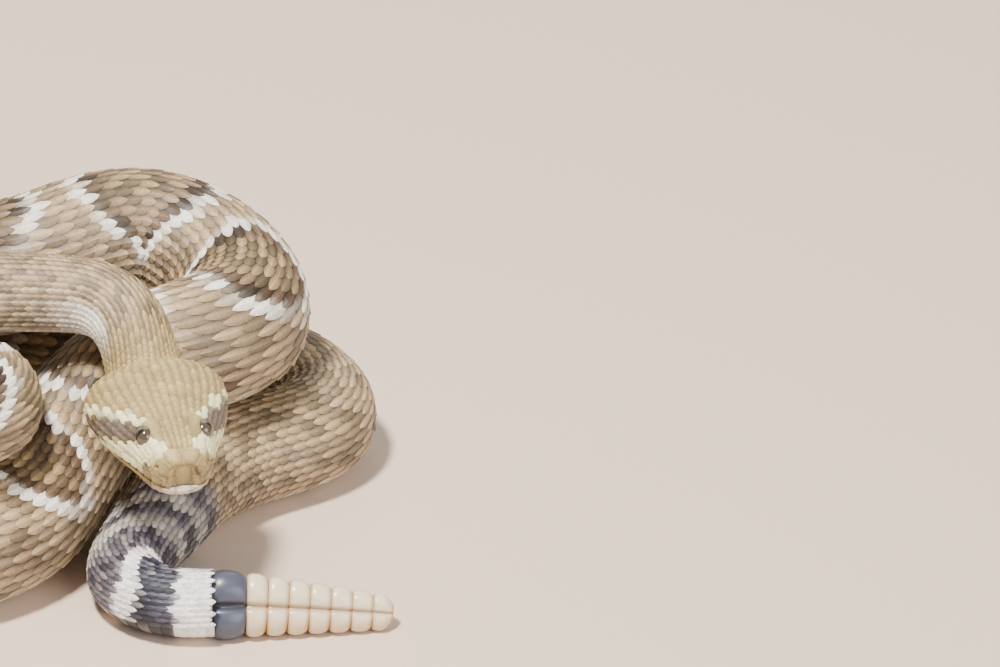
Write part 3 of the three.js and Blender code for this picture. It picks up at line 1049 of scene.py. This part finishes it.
# The rattle: a dark first ring grown from the tail, then horn rings with a groove along each side; each ring
# has painted shade along its groove and on its underside
rattle = {
    "around": 128,
    "along": 18,
    "size": 1.01,
    "flat": 0.68,
    "lobe": 0.17,
    "swell": (0.92, 2.6),
    "ends": 0.25,
    "waist": (0.16, 0.34),
    "groove": (0.24, 0.085),
    "powers": (0.72, 0.92),
    "endDark": 0.6,
    "undersideShade": 0.35,
    "grooveShade": 0.7,
    "tip": 0.4,
    "tipFrom": (0.3, 1.0),
    "tipGap": 0.25,
    "overlap": (0.1, 0.4),
    "matrixOverlap": (0.2, 0.6),
    "matrixWide": 1.03,
}
# Horn glows a little and is streaked; the matrix is the same stuff, dark and dull
horn = {
    "shader": {"Subsurface Scale": 0.0015, "Coat Weight": 0.3, "Coat Roughness": 0.25},
    "streak": {"Scale": 420},
    "spread": {"To Min": 0.85, "To Max": 1.12},
}
ringLooks = {
    "horn": {
        "name": "rattleHorn",
        "shader": {"Roughness": 0.26, "Subsurface Weight": 0.2},
        # Base colour, deeper colour at the ends with painted shade underneath, and painted shade in the
        # groove
        "colors": ("horn", "hornDeepAndShade", "hornGrooveShade"),
        "slot": "horn",
        "nodes": ["rattle"],
    },
    "matrix": {
        "name": "darkMatrix",
        "shader": {"Roughness": 0.38, "Subsurface Weight": 0.0},
        "colors": ("matrix", "matrix", "matrixGrooveShade"),
        "slot": "dark_skin",
        "nodes": ["rattle_base"],
    },
}


def hornMaterial(look):
    m, shader, tree = newMaterial(look["name"], {**horn["shader"], **look["shader"]})
    streak = addNode(tree, "ShaderNodeTexNoise", horn["streak"])
    color = unevenColor(tree, streak, horn["spread"])[0]
    tree.links.new(color, shader.inputs["Base Color"])
    return m


def makeRing(name, look, material, start, long, wide=1.0, tip=0.0):
    mesh, x, share = flatSheet(name, rattle["along"], rattle["around"])
    angle = share * 2 * math.pi
    sn, cs = np.sin(angle), np.cos(angle)
    at, r, side, up = framesAt(np.minimum(start + x * long, total - rattle["tipGap"]))
    fullest, swellPower = rattle["swell"]
    swell = 1 - np.abs(2 * x - fullest) ** swellPower
    ends = smooth(-x, -0.05, 0.0) + smooth(x, 0.94, 1.0)
    lobe = rattle["size"] - rattle["lobe"] * (1 - swell) - rattle["ends"] * ends
    lobe = lobe * wide * (1 - tip * smooth(x, *rattle["tipFrom"]) ** 2)
    fromSide = np.arccos(np.clip(np.abs(sn), 0, 1))
    (waist, waistWide), (groove, grooveWide) = rattle["waist"], rattle["groove"]
    line = np.exp(-((fromSide / grooveWide) ** 2))
    pinched = 1 - waist * np.exp(-((fromSide / waistWide) ** 2)) - groove * line
    sidePower, upPower = rattle["powers"]
    a = r * rattle["flat"] * lobe * pinched * np.sign(sn) * np.abs(sn) ** sidePower
    b = r * lobe * np.sign(cs) * np.abs(cs) ** upPower
    p = at + a[:, None] * side + b[:, None] * up
    p[:, 2] = np.maximum(p[:, 2], 0)
    setPoints(mesh, p)
    base, deep, paintedGrooveColor = (linear(color) for color in look["colors"])
    # Deeper colour at each ring's ends, where the rings join
    edge = 1 - smooth(swell, 0.2, 0.85)
    # Painted shade on each ring's underside
    low = smooth(-cs, -0.2, 1.0)
    dark = np.clip(edge * rattle["endDark"] + low * rattle["undersideShade"], 0, 1)
    color = tint(base + 0 * p, deep, dark)
    # Painted shade along the groove on each side
    paint(mesh, tint(color, paintedGrooveColor, line * rattle["grooveShade"]))
    closeTube(mesh)
    finishPiece(name, mesh, material, look["nodes"])


def makeRattle():
    materials = {kind: hornMaterial(look) for kind, look in ringLooks.items()}
    before, longer = rattle["matrixOverlap"]
    start, long = matrixStart - before, body["matrix"] + longer
    makeRing("matrixRing", ringLooks["matrix"], materials["matrix"], start, long, rattle["matrixWide"])
    before, longer = rattle["overlap"]
    for ring in range(body["rings"]):
        start, long = rattleStart + ring * body["ringPitch"] - before, body["ringPitch"] + longer
        tip = rattle["tip"] if ring == body["rings"] - 1 else 0.0
        makeRing(f"rattleRing_{ring + 1}", ringLooks["horn"], materials["horn"], start, long, tip=tip)


makeRattle()
print("rattle made")

# The eye's gloss, the slit's half width and height on a ball of radius 1, and its colours
eye = {
    "shader": {"Roughness": 0.12, "Coat Weight": 1.0, "Coat Roughness": 0.03},
    "slit": (0.2, 0.62),
    "grain": {"Scale": 9, "Detail": 5},
    "irisDeep": 0.2,
    "pupil": (0.004, 0.004, 0.004, 1),
    "rings": (48, 32),
}


# Colours follow the place on the ball, kept as a vertex vector
def eyeMaterial():
    m, shader, tree = newMaterial("eyeGloss", eye["shader"])
    place = addAttribute(tree, "ball")
    parts = tree.nodes.new("ShaderNodeSeparateXYZ")
    tree.links.new(place.outputs["Vector"], parts.inputs["Vector"])

    def step(operation, first, second):
        node = tree.nodes.new("ShaderNodeMath")
        node.operation = operation
        for socket, value in zip(node.inputs, (first, second)):
            if isinstance(value, (int, float)):
                socket.default_value = value
            else:
                tree.links.new(value, socket)
        return node.outputs[0]

    def mix(factor, a, b):
        node = tree.nodes.new("ShaderNodeMix")
        node.data_type = "RGBA"
        tree.links.new(factor, node.inputs["Factor"])
        for socket, value in (("A", a), ("B", b)):
            if isinstance(value, tuple):
                node.inputs[socket].default_value = value
            else:
                tree.links.new(value, node.inputs[socket])
        return node.outputs["Result"]

    slitWide, slitHigh = eye["slit"]
    acrossSlit = step("POWER", step("ABSOLUTE", step("DIVIDE", parts.outputs["X"], slitWide), 0), 2)
    alongSlit = step("POWER", step("ABSOLUTE", step("DIVIDE", parts.outputs["Y"], slitHigh), 0), 2)
    pupil = step("LESS_THAN", step("ADD", acrossSlit, alongSlit), 1)
    grain = addNode(tree, "ShaderNodeTexNoise", eye["grain"])
    tree.links.new(place.outputs["Vector"], grain.inputs["Vector"])
    iris = mix(grain.outputs["Fac"], (*(linear("iris") * eye["irisDeep"]), 1), (*linear("iris"), 1))
    tree.links.new(mix(pupil, iris, eye["pupil"]), shader.inputs["Base Color"])
    return m


def makeEyes():
    s, _, radius = face["eye"]
    around, over = eye["rings"]
    gloss = eyeMaterial()
    for name, side, node in (("eyeRight", 1, "eye_right"), ("eyeLeft", -1, "eye_left")):
        place = np.array([s]), np.array([side * eyeShare])
        out = lookUp(normals, *place)[0]
        out = out / np.linalg.norm(out)
        centre = onSurface(*place, np.array([-face["eyeDepth"]]))[0]
        tailward = lookUp(outer, place[0] + 1, place[1])[0] - lookUp(outer, place[0] - 1, place[1])[0]
        tailward = tailward - out * tailward.dot(out)
        tailward = tailward / np.linalg.norm(tailward)
        upright = np.cross(out, tailward)
        turn = np.column_stack([tailward, upright, out])
        bm = bmesh.new()
        bmesh.ops.create_uvsphere(bm, u_segments=around, v_segments=over, radius=1)
        mesh = leafMesh(name, bm)
        ball = getPoints(mesh)
        layer = mesh.attributes.new("ball", "FLOAT_VECTOR", "POINT")
        layer.data.foreach_set("vector", ball.astype(np.float32).ravel())
        setPoints(mesh, centre + (ball * radius) @ turn.T)
        finishPiece(name, mesh, gloss, [node])


makeEyes()
print("eyes made")

# Studio: plain pale floor, soft light from the photo's sun side, and the photo's view
studio = {
    "elevation": 30.0,
    "distance": 5.0,
    "wide": 0.25,
    "aim": (0.12446, -0.0075, 0.052),
    "sensor": 36,
    "floorSize": 4,
    "floor": {"Base Color": (0.74, 0.59, 0.47, 1), "Roughness": 0.9},
    "sky": (0.93, 0.95, 1.0, 1),
    "skyStrength": 0.40,
    "lampAim": (0, 0, 0.03),
    "lamps": (
        ("keyLight", (-0.24, -0.36, 1.22), 0.20, 37, (1.0, 0.95, 0.89)),
        ("fillLight", (0.8, -1.0, 0.6), 1.0, 12, (0.97, 0.97, 1.0)),
        ("backLight", (0.1, 0.9, 0.8), 0.8, 3, (1.0, 0.97, 0.92)),
    ),
}


def makeFloor():
    bm = bmesh.new()
    bmesh.ops.create_grid(bm, x_segments=1, y_segments=1, size=studio["floorSize"])
    mesh = leafMesh("studioFloor", bm)
    mesh.materials.append(newMaterial("paleFloor", studio["floor"])[0])
    floor = bpy.data.objects.new("studioFloor", mesh)
    bpy.context.collection.objects.link(floor)


def makeLights():
    world = bpy.data.worlds.new("studioWorld")
    world.use_nodes = True
    sky = world.node_tree.nodes["Background"]
    sky.inputs["Color"].default_value = studio["sky"]
    sky.inputs["Strength"].default_value = studio["skyStrength"]
    bpy.context.scene.world = world
    for name, at, size, power, color in studio["lamps"]:
        data = bpy.data.lights.new(name, "AREA")
        data.shape = "DISK"
        data.size = size
        data.energy = power
        data.color = color
        lamp = bpy.data.objects.new(name, data)
        lamp.location = at
        lamp.rotation_euler = (Vector(studio["lampAim"]) - Vector(at)).to_track_quat("-Z", "Y").to_euler()
        bpy.context.collection.objects.link(lamp)


def makeCamera():
    data = bpy.data.cameras.new("photoCamera")
    camera = bpy.data.objects.new("photoCamera", data)
    e = math.radians(studio["elevation"])
    back = Vector((0, -math.cos(e), math.sin(e)))
    camera.location = Vector(studio["aim"]) + back * studio["distance"]
    camera.rotation_euler = (-back).to_track_quat("-Z", "Y").to_euler()
    data.lens = studio["sensor"] * studio["distance"] / studio["wide"]
    bpy.context.collection.objects.link(camera)
    bpy.context.scene.camera = camera


makeFloor()
makeLights()
makeCamera()
print("finished pieces", len(bpy.data.meshes))
